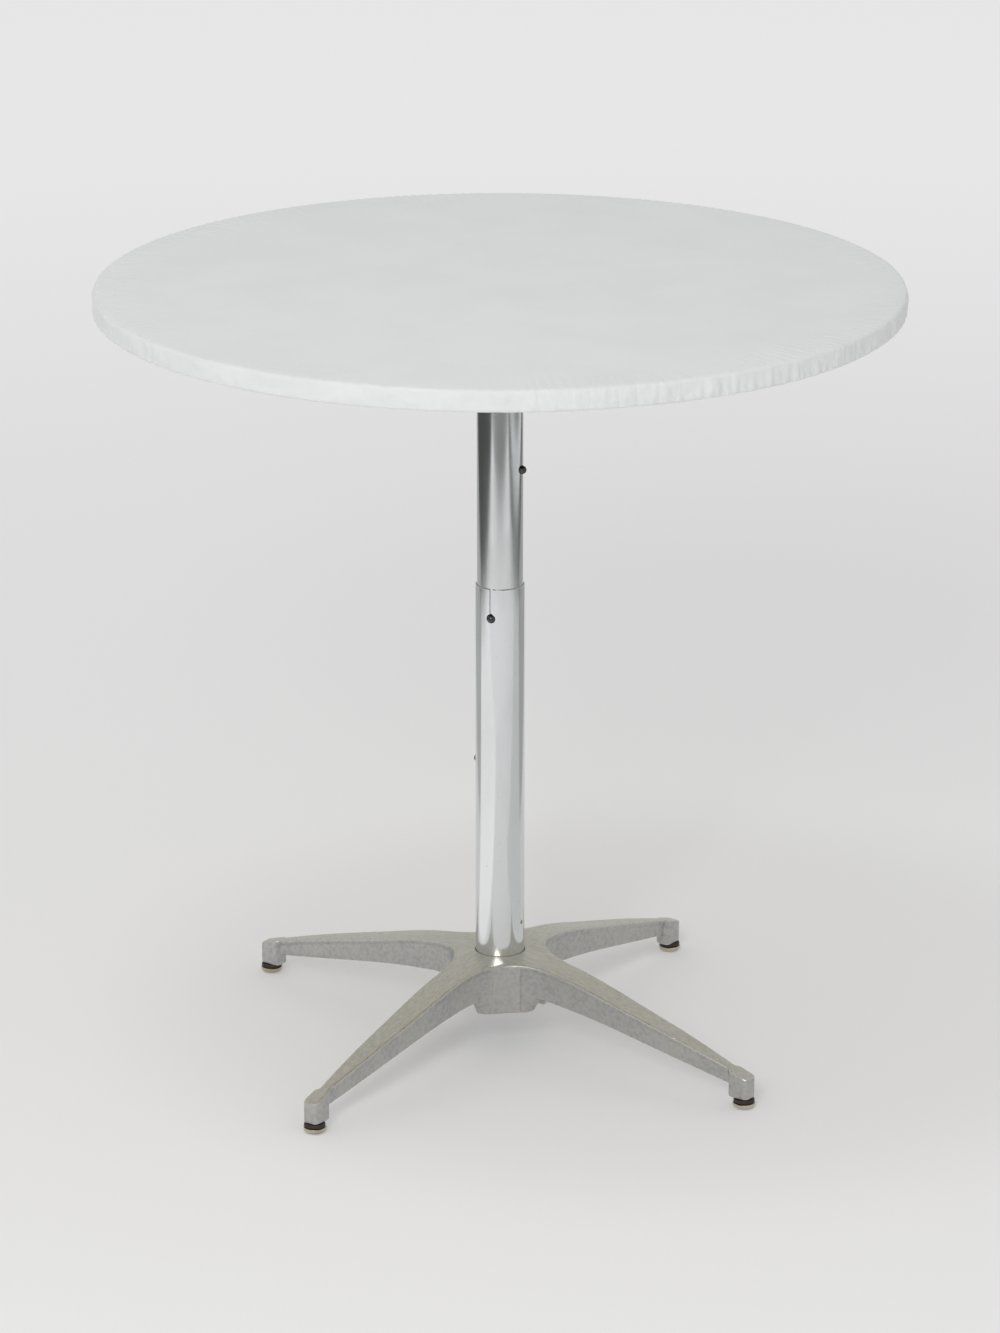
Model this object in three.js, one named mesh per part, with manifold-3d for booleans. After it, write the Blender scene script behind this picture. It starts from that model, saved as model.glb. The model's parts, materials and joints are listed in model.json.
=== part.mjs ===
// A round pedestal table in a fitted cloth cover: a board on a telescoping chromed column with
// snap buttons, a cast base with four arms, and four levelling glides. Millimetres, +Z up, the
// origin on the floor at the column's axis. The arms lie on the diagonals.
import * as THREE from 'three';
import { mergeVertices } from 'three/addons/utils/BufferGeometryUtils.js';
import Module from 'manifold-3d';

const wasm = await Module();
wasm.setup();

// Overall sizes
const tableHeight = 762;
const tableDiameter = 762;
const gap = 0.3; // clearance kept between pieces that touch
const roundSegments = 56; // facets around the board
const tubeSegments = 36; // facets around the column

// Cover and board
const clothThickness = 0.9;
const boardThickness = 18;
const bandThickness = 2.6;
const bandCorner = 2.2; // rounding of the board's edging
const underTurn = 62; // how far the cover runs in under the board
const hemWidth = 11;
const elasticWidth = 7;
const elasticThickness = 1.1;

// Mounting plate
const plateSide = 230;
const plateCorner = 18;
const plateThickness = 4;
const plateScrewInset = 20;
const collarWall = 3;
const collarLength = 58;

// Column
const upperTubeDiameter = 44.4;
const upperTubeWall = 1.5;
const upperTubeBottom = 60; // height of the upper tube's lower end
const lowerTubeWall = 1.3;
const lowerTubeRim = 468;
const bushingLength = 24;
const bushingWall = 3;
const bushingFlange = 3;

// Snap buttons: the height and the direction of each, in degrees from +X
const buttonDiameter = 8.4;
const buttonProud = 3; // how far a button stands out of the lower tube
const buttonHeights = { a: 583, b: 439, c: 288, d: 134.2 };
const buttonAngles = { a: -30, b: -120, c: 150, d: -120 };
const keyholeSlit = 3;
const drainHeight = 125; // the small hole low on the lower tube
const drainAngle = -36;
const drainDiameter = 4;
const leafThickness = 0.8;
const leafWidth = 8.6;
const leafRoom = 1.6; // from the upper tube's wall to the middle of the leaf's far leg
const leafLength = 40; // from a button's centre down to the leaf's bend
const leafLip = 4.6; // how far the leaf reaches past the middle of its button

// Cast base
const hubTop = 93.5;
const hubBottom = 41.5;
const bossDiameter = 94;
const bossDraft = 3; // how much the boss narrows towards its foot
const pilasterWidth = 27; // the boss shows between the arms as four upright panels this wide
const socketFloor = 4;
const socketWall = 6; // wall of the inner socket that holds the lower tube
const socketDrain = 24;
const armRootWidth = 32;
const armMiddleWidth = 28;
const armTipWidth = 16.5;
const crotchReach = 75; // where the sides of the arms run into the curve between them
const crotchPull = 19.5; // how far out that curve is pulled
const armDraft = 6.5; // how much narrower an arm's side gets over the hub's height
const armSkin = 5; // thickness of the top of the arms and the hub
const armWall = 4;
const footWidth = 17;
const footLength = 23.5;
const footSetback = 3.2; // the foot block's middle is nearer the hub than the glide is
const footTop = 31;
const footBottom = 10;
const footCorner = 4.5;
const glideCircle = 290.5; // distance of each glide from the column's axis
const setScrewDiameter = 8;
const setScrewHeight = 66;

// Glides
const glideDiameter = 22;
const glideFlat = 12;
const glideBaseHeight = 5.4;
const cushionDiameter = 20.6;
const stemDiameter = 8;
const stemReach = 14; // length of stem inside the foot
const stemRoom = 2; // free depth of the foot's hole above the stem

const boardTop = tableHeight - clothThickness - gap;
const boardBottom = boardTop - boardThickness;
const coverRadius = tableDiameter / 2;
const boardRadius = coverRadius - clothThickness - gap;
const plateTop = boardBottom - gap;
const plateBottom = plateTop - plateThickness;
const upperRadius = upperTubeDiameter / 2;
const upperBore = upperRadius - upperTubeWall;
const lowerBore = upperRadius + gap;
const lowerRadius = lowerBore + lowerTubeWall;
const buttonRadius = buttonDiameter / 2;
const buttonTip = lowerRadius + buttonProud;
const buttonTravel = buttonTip - upperRadius;
const buttonFoot = upperBore - 1.1; // the inner end of a button that stands out
const footCentre = glideCircle - footSetback;
const footOuter = footCentre + footLength / 2;
const bossRadius = bossDiameter / 2;
const socketRadius = lowerRadius + gap + socketWall;

// Materials
const finish = (color, roughness, metalness) =>
  new THREE.MeshStandardMaterial({ color, roughness, metalness });
const finishes = {
  cloth: [0xdcdcda, 0.9, 0],
  elastic: [0xd6d6d2, 0.85, 0],
  plywood: [0xc09a68, 0.7, 0],
  edging: [0x3a3733, 0.5, 0],
  blackSteel: [0x2b2b2c, 0.5, 0.6],
  zinc: [0xb9bcbd, 0.35, 1],
  chrome: [0xc9cccd, 0.12, 1],
  nylon: [0x232324, 0.45, 0],
  spring: [0x8d8f90, 0.35, 1],
  casting: [0xa9a89f, 0.45, 0.9],
  rubber: [0x3b342d, 0.8, 0],
  nickel: [0xa89f92, 0.25, 1],
};

// A closed geometry as a solid that can be joined and cut, and back again
function solid(geometry) {
  const bare = geometry.clone();
  bare.deleteAttribute('normal');
  bare.deleteAttribute('uv');
  const merged = mergeVertices(bare, 1e-4);
  const index = merged.index.array;
  const kept = [];
  for (let i = 0; i < index.length; i += 3) {
    const [a, b, c] = [index[i], index[i + 1], index[i + 2]];
    if (a !== b && b !== c && c !== a) kept.push(a, b, c);
  }
  return new wasm.Manifold(new wasm.Mesh({
    numProp: 3,
    vertProperties: new Float32Array(merged.attributes.position.array),
    triVerts: new Uint32Array(kept),
  }));
}

function surface(body) {
  const mesh = body.getMesh();
  const geometry = new THREE.BufferGeometry();
  geometry.setAttribute('position', new THREE.BufferAttribute(mesh.vertProperties, 3));
  geometry.setIndex(new THREE.BufferAttribute(mesh.triVerts, 1));
  geometry.computeVertexNormals();
  return geometry;
}

const cut = (body, tools) => tools.reduce((left, tool) => left.subtract(solid(tool)), solid(body));

// A profile of [radius, height] points turned about +Z. It runs anticlockwise, seen with the
// radius to the right and the height up.
function turned(profile, segments = tubeSegments) {
  const points = profile.map(([radius, height]) => new THREE.Vector2(radius, height));
  return new THREE.LatheGeometry(points, segments).rotateX(Math.PI / 2);
}

const ring = (inner, outer, low, high, segments) =>
  turned([[inner, low], [outer, low], [outer, high], [inner, high], [inner, low]], segments);

const disc = (radius, low, high, segments) =>
  turned([[0, low], [radius, low], [radius, high], [0, high]], segments);

// A quarter arc of profile points about a centre, between two angles in degrees
function arc(radius, height, size, from, to, steps = 2) {
  return Array.from({ length: steps + 1 }, (_, i) => {
    const angle = THREE.MathUtils.degToRad(from + ((to - from) * i) / steps);
    return [radius + size * Math.cos(angle), height + size * Math.sin(angle)];
  });
}

// A round tool or piece along +X, at a height, turned to a direction about +Z
function radial(geometry, height, degrees) {
  return geometry.rotateY(Math.PI / 2)
    .translate(0, 0, height)
    .rotateZ(THREE.MathUtils.degToRad(degrees));
}

function prism(outline, low, high) {
  const shape = new THREE.Shape(outline.map(([x, y]) => new THREE.Vector2(x, y)));
  const options = { depth: high - low, bevelEnabled: false };
  return new THREE.ExtrudeGeometry(shape, options).translate(0, 0, low);
}

// A rectangle with round corners, centred on a point
function roundedRectangle(centreX, centreY, width, height, corner, steps = 3) {
  const corners = [[1, -1, -90], [1, 1, 0], [-1, 1, 90], [-1, -1, 180]];
  return corners.flatMap(([sx, sy, start]) => arc(
    centreX + sx * (width / 2 - corner),
    centreY + sy * (height / 2 - corner),
    corner, start, start + 90, steps,
  ));
}

function part(name, geometry, look) {
  const mesh = new THREE.Mesh(geometry, finish(...finishes[look]));
  mesh.name = name;
  return mesh;
}

// The cover is one skin: over the board, down its edge, in under it, and folded back out at the
// hem, where the fold holds the elastic.
function coverCloth() {
  const corner = bandCorner + gap + clothThickness;
  const inside = corner - clothThickness;
  const under = boardBottom - gap - clothThickness;
  const centreRadius = coverRadius - corner;
  const low = under + corner;
  const high = tableHeight - corner;
  const hemInner = coverRadius - underTurn;
  const pocket = under - elasticThickness - 2 * gap;
  return turned([
    [0, boardTop + gap],
    ...arc(centreRadius, high, inside, 90, 0),
    ...arc(centreRadius, low, inside, 0, -90),
    [hemInner, under + clothThickness],
    [hemInner, pocket - clothThickness],
    [hemInner + hemWidth, pocket - clothThickness],
    [hemInner + hemWidth, pocket],
    [hemInner + clothThickness, pocket],
    [hemInner + clothThickness, under],
    ...arc(centreRadius, low, corner, -90, 0),
    ...arc(centreRadius, high, corner, 0, 90),
    [0, tableHeight],
  ], roundSegments);
}

function hemElastic() {
  const inner = coverRadius - underTurn + clothThickness + gap;
  const top = boardBottom - 2 * gap - clothThickness;
  return ring(inner, inner + elasticWidth, top - elasticThickness, top, roundSegments);
}

const plateCorners = [[1, 1], [-1, 1], [-1, -1], [1, -1]].map(
  (signs) => signs.map((sign) => sign * (plateSide / 2 - plateScrewInset)),
);

// A pan-head wood screw, head down: its shank goes up through the plate into the board
const screw = { head: 5, headHeight: 3.4, shank: 2.2, length: 17, point: 4, clearance: 0.4 };

function board() {
  const tools = plateCorners.map(([x, y]) => disc(
    screw.shank + screw.clearance, boardBottom - 1, plateTop + screw.length - plateThickness, 16,
  ).translate(x, y, 0));
  const core = disc(boardRadius - bandThickness - gap, boardBottom, boardTop, roundSegments);
  return surface(cut(core, tools));
}

function edgeBand() {
  const inner = boardRadius - bandThickness;
  const centre = boardRadius - bandCorner;
  return turned([
    [inner, boardBottom],
    ...arc(centre, boardBottom + bandCorner, bandCorner, -90, 0, 2),
    ...arc(centre, boardTop - bandCorner, bandCorner, 0, 90, 2),
    [inner, boardTop],
    [inner, boardBottom],
  ], roundSegments);
}

function plateScrew() {
  const seat = plateBottom - gap;
  const tip = plateTop + screw.length - plateThickness - gap;
  return turned([
    [0, seat - screw.headHeight],
    [screw.head * 0.7, seat - screw.headHeight],
    [screw.head, seat - screw.headHeight * 0.4],
    [screw.head, seat],
    [screw.shank, seat],
    [screw.shank, tip - screw.point],
    [0, tip],
  ], 16);
}

const setScrew = (inner, outer, radius) => disc(radius, inner, outer, 16);

// Plate and collar are welded: one piece
const collarBore = upperRadius + gap;
const collarOuter = collarBore + collarWall;
const collarScrew = { radius: 3, height: plateBottom - collarLength / 2, angles: [0, 90] };

function mountingPlate() {
  const plate = prism(roundedRectangle(0, 0, plateSide, plateSide, plateCorner),
    plateBottom, plateTop);
  const collar = ring(collarBore, collarOuter, plateBottom - collarLength, plateBottom + 1);
  const tools = [
    ...plateCorners.map(([x, y]) => disc(
      screw.shank + screw.clearance, plateBottom - 1, plateTop + 1, 16,
    ).translate(x, y, 0)),
    ...collarScrew.angles.map((angle) => radial(
      disc(collarScrew.radius + gap, upperRadius, collarOuter + 1, 16), collarScrew.height, angle,
    )),
  ];
  return surface(tools.reduce(
    (left, tool) => left.subtract(solid(tool)), solid(plate).add(solid(collar)),
  ));
}

const buttonNames = Object.keys(buttonHeights);
const buttonHole = (name, radius) => radial(
  disc(radius, 10, lowerRadius + 5, 16), buttonHeights[name], buttonAngles[name],
);

function upperTube() {
  const tube = ring(upperBore, upperRadius, upperTubeBottom, plateBottom - gap);
  return surface(cut(tube, buttonNames.map((name) => buttonHole(name, buttonRadius + gap))));
}

// The keyhole is the hole of button B with a slit running up from it to the rim
function lowerTube() {
  const tube = ring(lowerBore, lowerRadius, hubBottom + socketFloor + gap, lowerTubeRim);
  const slitLength = lowerTubeRim - buttonHeights.b + 2;
  const slit = new THREE.BoxGeometry(lowerRadius, keyholeSlit, slitLength)
    .translate(lowerRadius, 0, buttonHeights.b + slitLength / 2)
    .rotateZ(THREE.MathUtils.degToRad(buttonAngles.b));
  const drain = radial(disc(drainDiameter / 2, 10, lowerRadius + 5, 12), drainHeight, drainAngle);
  const holes = ['b', 'c'].map((name) => buttonHole(name, buttonRadius + gap));
  return surface(cut(tube, [...holes, slit, drain]));
}

function endBushing() {
  const outer = upperBore - gap;
  const flange = upperTubeBottom - gap;
  return turned([
    [outer - bushingWall, flange - bushingFlange],
    [upperRadius, flange - bushingFlange],
    [upperRadius, flange],
    [outer, flange],
    [outer, flange + bushingLength],
    [outer - bushingWall, flange + bushingLength],
    [outer - bushingWall, flange - bushingFlange],
  ]);
}

// A sprung snap button in one piece: a hairpin leaf whose one leg carries the button, a pin with a
// domed end, and whose other leg bears on the far wall of the upper tube. Button D starts pressed in.
function snapButton(name) {
  const inset = name === 'd' ? buttonTravel : 0;
  const foot = buttonFoot - inset;
  const pin = turned([
    [0, foot - leafThickness / 2],
    [buttonRadius, foot - leafThickness / 2],
    ...arc(0, buttonTip - buttonRadius - inset, buttonRadius, 0, 90, 3),
  ], 16).rotateY(Math.PI / 2);
  const front = foot - leafThickness / 2;
  const back = -Math.sqrt(upperBore ** 2 - (leafWidth / 2) ** 2) + leafRoom;
  const at = (x, z) => new THREE.Vector2(x, z);
  const bend = -leafLength * 1.2;
  const curve = new THREE.CurvePath();
  curve.add(new THREE.LineCurve(at(front, leafLip), at(front, -leafLip)));
  curve.add(new THREE.CubicBezierCurve(
    at(front, -leafLip), at(front, bend), at(back, bend), at(back, -leafLip),
  ));
  curve.add(new THREE.LineCurve(at(back, -leafLip), at(back, leafLip)));
  const steps = 22;
  const sides = [1, -1].map((side) => Array.from({ length: steps + 1 }, (_, i) => {
    const point = curve.getPointAt(i / steps);
    const along = curve.getTangentAt(i / steps);
    const offset = (side * leafThickness) / 2;
    return [point.x - along.y * offset, point.y + along.x * offset];
  }));
  const strip = prism([...sides[0], ...sides[1].reverse()], -leafWidth / 2, leafWidth / 2)
    .rotateX(Math.PI / 2);
  return surface(solid(pin).add(solid(strip)))
    .translate(0, 0, buttonHeights[name])
    .rotateZ(THREE.MathUtils.degToRad(buttonAngles[name]));
}

// The crest of the casting, seen from the side: flat over the hub, then bowed down to the foot
const along = (share) => bossRadius + (footOuter - bossRadius) * share;
const crest = new THREE.SplineCurve([
  [lowerRadius, hubTop], [bossRadius - 2, hubTop - 0.5], [along(0.2), hubTop - 8.5],
  [along(0.45), hubTop - 24.5], [along(0.725), hubTop - 42.5], [footOuter, footTop],
].map(([radius, height]) => new THREE.Vector2(radius, height)));

// The arms' underside: it rises beside the boss, then falls towards the foot
const bellyStart = bossRadius + 10.5;
const belly = new THREE.SplineCurve([
  [bellyStart, hubBottom + 16], [along(0.36), hubBottom + 6.5], [glideCircle, footBottom + 8],
].map(([radius, height]) => new THREE.Vector2(radius, height)));

const spline = (curve, steps) => curve.getPoints(steps).map(({ x, y }) => [x, y]);

function underCrest(lowered, outer) {
  const line = spline(crest, 10).map(([radius, height]) => [radius, height - lowered]).reverse();
  return turned([[0, 0], [outer, 0], ...line, [0, hubTop - lowered]], tubeSegments);
}

const armTurns = [0, 1, 2, 3].map((k) => Math.PI / 4 + (k * Math.PI) / 2);

// Four arms seen from above, joined by curves between them
function starOutline() {
  const shape = new THREE.Shape();
  const rootHalf = armRootWidth / 2;
  const tipHalf = armTipWidth / 2;
  const middle = (crotchReach + footCentre) / 2 + 10;
  const bulge = armMiddleWidth - (armRootWidth + armTipWidth) / 4;
  armTurns.forEach((turn, k) => {
    const place = (radius, side, more = 0) => new THREE.Vector2(radius, side)
      .rotateAround(new THREE.Vector2(), turn + more);
    const start = place(crotchReach, -rootHalf);
    if (k === 0) shape.moveTo(start.x, start.y);
    const right = place(middle, -bulge);
    const tip = [place(footCentre, -tipHalf), place(footCentre, tipHalf)];
    shape.quadraticCurveTo(right.x, right.y, tip[0].x, tip[0].y);
    shape.lineTo(tip[1].x, tip[1].y);
    const left = place(middle, bulge);
    const root = place(crotchReach, rootHalf);
    shape.quadraticCurveTo(left.x, left.y, root.x, root.y);
    const pull = place(crotchPull, crotchPull);
    const next = place(crotchReach, -rootHalf, Math.PI / 2);
    shape.quadraticCurveTo(pull.x, pull.y, next.x, next.y);
  });
  return shape;
}

// Each arm is open underneath, and so is the hub, around the inner socket
function castingHollows() {
  const rootHalf = armRootWidth / 2 - armWall - armDraft / 2;
  const tipHalf = armTipWidth / 2 - armWall - armDraft / 2;
  const inner = socketRadius - 1;
  const outer = footCentre - footLength / 2 - armWall;
  const skin = solid(underCrest(armSkin, footOuter));
  const channels = armTurns.map((turn) => solid(prism([
    [inner, -rootHalf], [outer, -tipHalf], [outer, tipHalf], [inner, rootHalf],
  ], 0, hubTop).rotateZ(turn)).intersect(skin));
  const socket = solid(disc(socketRadius, 0, hubTop));
  const well = solid(disc(bossRadius - armWall - armDraft / 2, 0, hubTop - armSkin));
  return [...channels, well].map((hollow) => hollow.subtract(socket));
}

function baseCasting() {
  const star = new THREE.ExtrudeGeometry(starOutline(), {
    depth: 1, curveSegments: 6, bevelEnabled: true, bevelSegments: 1,
    bevelThickness: hubTop + 5, bevelSize: armDraft, bevelOffset: -armDraft,
  }).translate(0, 0, hubTop);
  const below = turned([
    [0, -20], [footOuter + 5, -20], [footOuter + 5, footBottom + 1],
    ...spline(belly, 8).reverse(), [bossRadius + 1.5, hubBottom], [0, hubBottom],
  ]);
  const boss = turned([
    [0, hubBottom], [bossRadius - bossDraft, hubBottom], [bossRadius, hubTop + 1], [0, hubTop + 1],
  ]);
  const panels = [[bossDiameter, pilasterWidth], [pilasterWidth, bossDiameter]].map(
    ([x, y]) => solid(new THREE.BoxGeometry(x, y, 3 * hubTop)).intersect(solid(boss)),
  );
  let body = solid(star).subtract(solid(below)).add(panels[0]).add(panels[1]);
  for (const hollow of castingHollows()) body = body.subtract(hollow);
  for (const turn of armTurns) {
    body = body.add(solid(prism(
      roundedRectangle(footCentre, 0, footLength, footWidth, footCorner), footBottom, hubTop,
    ).rotateZ(turn)));
  }
  body = body.intersect(solid(underCrest(0, footOuter + footCorner)));
  const tools = [
    disc(lowerRadius + gap, hubBottom + socketFloor, hubTop + 10),
    disc(socketDrain / 2, 0, hubTop),
    ...[90, 180].map((angle) => radial(
      disc(setScrewDiameter / 2 + gap, lowerRadius, crotchReach, 16), setScrewHeight, angle,
    )),
    ...armTurns.map((turn) => disc(
      stemDiameter / 2 + gap, 0, footBottom + stemReach + stemRoom, 16,
    ).translate(glideCircle, 0, 0).rotateZ(turn)),
  ];
  return surface(tools.reduce((left, tool) => left.subtract(solid(tool)), body));
}

const cushionLow = glideBaseHeight + gap;
const stemPocket = 2.4; // height of the pocket's floor in the glide's base

function glideBase() {
  return turned([
    [0, 0],
    [glideFlat / 2, 0],
    [glideDiameter / 2 - 1.6, 1.2],
    [glideDiameter / 2, 3.4],
    [glideDiameter / 2, glideBaseHeight],
    [stemDiameter / 2 + gap, glideBaseHeight],
    [stemDiameter / 2 + gap, stemPocket],
    [0, stemPocket],
  ], 24);
}

const glideCushion = () => ring(
  stemDiameter / 2 + gap, cushionDiameter / 2, cushionLow, footBottom - gap, 24,
);

const glideStem = () => disc(stemDiameter / 2, stemPocket + gap, footBottom + stemReach, 16);

// Assembly
const table = new THREE.Group();

const base = new THREE.Group();
base.add(part('base_casting', baseCasting(), 'casting'));
base.add(part('lower_tube', lowerTube(), 'chrome'));
[90, 180].forEach((angle, i) => {
  const pin = setScrew(lowerRadius + gap, socketRadius, setScrewDiameter / 2);
  base.add(part(`hub_set_screw_${i + 1}`, radial(pin, setScrewHeight, angle), 'blackSteel'));
});
table.add(base);

const column = new THREE.Group();
column.add(part('upper_tube', upperTube(), 'chrome'));
column.add(part('column_end_bushing', endBushing(), 'nylon'));
column.add(part('top_plate', mountingPlate(), 'blackSteel'));
collarScrew.angles.forEach((angle, i) => {
  const pin = setScrew(upperRadius + gap, collarOuter + 3, collarScrew.radius);
  column.add(part(`collar_screw_${i + 1}`, radial(pin, collarScrew.height, angle), 'zinc'));
});
plateCorners.forEach(([x, y], i) => {
  const piece = part(`plate_screw_${i + 1}`, plateScrew(), 'zinc');
  piece.position.set(x, y, 0);
  column.add(piece);
});
column.add(part('top_panel', board(), 'plywood'));
column.add(part('edge_band', edgeBand(), 'edging'));
column.add(part('cover_cloth', coverCloth(), 'cloth'));
column.add(part('hem_elastic', hemElastic(), 'elastic'));
for (const name of buttonNames) {
  column.add(part(`snap_button_${name}`, snapButton(name), 'spring'));
}
table.add(column);

armTurns.forEach((turn, k) => {
  const arm = new THREE.Group();
  arm.rotation.z = turn;
  const glide = new THREE.Group();
  glide.position.x = glideCircle;
  glide.add(part(`glide_base_${k + 1}`, glideBase(), 'nickel'));
  glide.add(part(`glide_cushion_${k + 1}`, glideCushion(), 'rubber'));
  glide.add(part(`glide_stem_${k + 1}`, glideStem(), 'zinc'));
  arm.add(glide);
  table.add(arm);
});

export default table;
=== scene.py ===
import json
import math

import bmesh
import bpy
from mathutils import Matrix, Vector, noise


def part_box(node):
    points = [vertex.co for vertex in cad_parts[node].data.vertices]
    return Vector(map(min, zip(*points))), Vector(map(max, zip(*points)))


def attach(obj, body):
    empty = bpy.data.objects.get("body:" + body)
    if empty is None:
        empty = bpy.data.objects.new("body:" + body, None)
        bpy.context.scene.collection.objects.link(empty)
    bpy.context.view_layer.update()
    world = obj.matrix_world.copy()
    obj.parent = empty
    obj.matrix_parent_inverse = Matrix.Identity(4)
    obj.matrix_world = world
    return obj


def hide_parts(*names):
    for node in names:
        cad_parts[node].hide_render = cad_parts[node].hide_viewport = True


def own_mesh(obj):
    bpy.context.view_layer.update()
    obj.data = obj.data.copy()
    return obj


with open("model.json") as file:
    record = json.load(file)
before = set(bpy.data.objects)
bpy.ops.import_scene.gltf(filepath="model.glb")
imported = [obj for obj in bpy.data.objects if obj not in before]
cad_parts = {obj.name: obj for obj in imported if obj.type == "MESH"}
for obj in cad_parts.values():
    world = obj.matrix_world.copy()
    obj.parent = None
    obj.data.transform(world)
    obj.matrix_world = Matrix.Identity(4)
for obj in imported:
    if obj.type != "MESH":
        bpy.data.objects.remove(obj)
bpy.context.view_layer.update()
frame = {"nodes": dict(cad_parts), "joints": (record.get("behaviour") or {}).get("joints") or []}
scene = bpy.context.scene
print("frame loaded")


# The sizes that the pieces are worked out from, in metres
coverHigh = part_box("cover_cloth")[1]
boardLow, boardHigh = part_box("top_panel")
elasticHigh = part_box("hem_elastic")[1]
plateLow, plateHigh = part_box("top_plate")
innerLow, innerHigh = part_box("upper_tube")
outerLow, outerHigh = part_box("lower_tube")
castLow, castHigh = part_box("base_casting")
joints = {joint["name"]: joint for joint in frame["joints"]}
buttonJoints = {
    "a": "button_a_press", "b": "button_b_press", "c": "button_c_press", "d": "button_d_pop",
}
armAngles = [math.radians(45 + 90 * turn) for turn in range(4)]
gap = 0.0003  # what keeps touching pieces apart
leafLip = 0.0046  # how far a leaf reaches past the middle of its button


def buttonAngle(letter):  # the way a button points, seen from above
    x, y, z = joints[buttonJoints[letter]]["axis"]
    side = 1 if letter == "d" else -1
    return math.atan2(side * y, side * x)


def buttonHeight(letter):
    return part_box("snap_button_" + letter)[1].z - leafLip


# Camera, lights and floor

camera = {"spot": (-0.6425, -4.5143, 1.8972), "tilt": 71.64, "turn": -8.1, "lens": 134.95}
studio = {
    "floorRadius": 30.0,
    "skyStrength": 0.62,
    "floorGlow": (0.13, 0.215),  # near the table and far from it
    "keySpot": (-1.30, -3.35, 2.45),
    "keySize": 1.2,
    "keyPower": 42.0,
    "topSpot": (-0.55, -0.35, 3.2),
    "topSize": 0.6,
    "topPower": 7.5,
    "aim": (0, 0, 0.6),
    "paperEdge": 1.48,  # the paper's half width; beyond it a painted reflection of a dark room shows in the polished column
    "paperFront": 1.85,
    "paintedRoomEnd": 9.0,  # how far the painted reflection cards of the room reach
    "paintedDimSide": 0.62,  # from here outwards, behind the table, a painted reflection shows the paper dimmer in the column
    "paintedDimNear": 0.15,
    "cardHeight": 0.002,
}


def shade(red, green, blue):  # a colour as a screen shows it, made linear
    def line(value):
        value /= 255
        return value / 12.92 if value <= 0.04045 else ((value + 0.055) / 1.055) ** 2.4
    return (line(red), line(green), line(blue), 1.0)


def makeCamera():
    data = bpy.data.cameras.new("camera")
    data.lens = camera["lens"]
    data.sensor_width = 36
    data.clip_end = 100
    made = bpy.data.objects.new("camera", data)
    made.location = camera["spot"]
    made.rotation_euler = (math.radians(camera["tilt"]), 0, math.radians(camera["turn"]))
    scene.collection.objects.link(made)
    scene.camera = made


makeCamera()
scene.view_settings.view_transform = "Standard"


# Materials: arithmetic on a wire adds maths nodes

class Wire:
    def __init__(self, finish, socket):
        self.finish, self.socket = finish, socket

    def maths(self, operation, other, flipped=False):
        pair = (other, self) if flipped else (self, other)
        return self.finish.node("ShaderNodeMath", {"operation": operation}, {0: pair[0], 1: pair[1]})

    def __add__(self, other):
        return self.maths("ADD", other)

    def __sub__(self, other):
        return self.maths("SUBTRACT", other)

    def __mul__(self, other):
        return self.maths("MULTIPLY", other)

    def __truediv__(self, other):
        return self.maths("DIVIDE", other)

    def __rsub__(self, other):
        return self.maths("SUBTRACT", other, flipped=True)

    __radd__ = __add__
    __rmul__ = __mul__


class Finish:
    def __init__(self, name):
        self.material = bpy.data.materials.new(name)
        self.material.use_nodes = True
        self.tree = self.material.node_tree
        self.shader = self.tree.nodes["Principled BSDF"]
        self.place = self.node("ShaderNodeTexCoord", out="Object")

    def node(self, kind, settings=None, inputs=None, out=0):
        made = self.tree.nodes.new(kind)
        for key, value in (settings or {}).items():
            setattr(made, key, value)
        for key, value in (inputs or {}).items():
            self.feed(made.inputs[key], value)
        return Wire(self, made.outputs[out])

    def feed(self, socket, value):
        if isinstance(value, Wire):
            self.tree.links.new(value.socket, socket)
        else:
            socket.default_value = value

    def set(self, values):
        for key, value in values.items():
            self.feed(self.shader.inputs[key], value)
        return self

    def vector(self, operation, first, second=None, out=0):
        inputs = {0: first} if second is None else {0: first, 1: second}
        return self.node("ShaderNodeVectorMath", {"operation": operation}, inputs, out)

    def cloud(self, size, detail=3.0, rough=0.5, at=None, stretch=(1, 1, 1)):
        spot = at or self.place
        if stretch != (1, 1, 1):
            spot = self.vector("MULTIPLY", spot, stretch)
        return self.node("ShaderNodeTexNoise", {}, {
            "Vector": spot, "Scale": 1 / size, "Detail": detail, "Roughness": rough,
        })

    def band(self, value, low, high, start=0.0, end=1.0):
        return self.node("ShaderNodeMapRange", {"interpolation_type": "SMOOTHSTEP"}, {
            "Value": value, "From Min": low, "From Max": high, "To Min": start, "To Max": end,
        })

    def blend(self, factor, first, second):
        return self.node("ShaderNodeMix", {"data_type": "RGBA"}, {0: factor, 6: first, 7: second}, 2)

    def bump(self, height, depth, strength=1.0, under=None):
        inputs = {"Height": height, "Distance": depth, "Strength": strength}
        if under:
            inputs["Normal"] = under
        return self.node("ShaderNodeBump", {}, inputs)


knit = {
    "wale": 0.0011,  # the pitch of the knit across and along
    "course": 0.0014,
    "fibre": 0.0016,
    "weaveDepth": 0.00012,
    "crumple": 0.016,
    "crumpleDepth": 0.0016,
    "crumpleFrom": (0.30, 0.39),  # the top grows less smooth between these radii
    "crease": 0.0052,
    "creaseDepth": 0.0022,
    "creaseReach": 0.055,  # how far in from the rim the creases run
    "creaseStretch": 0.22,
}


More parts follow.
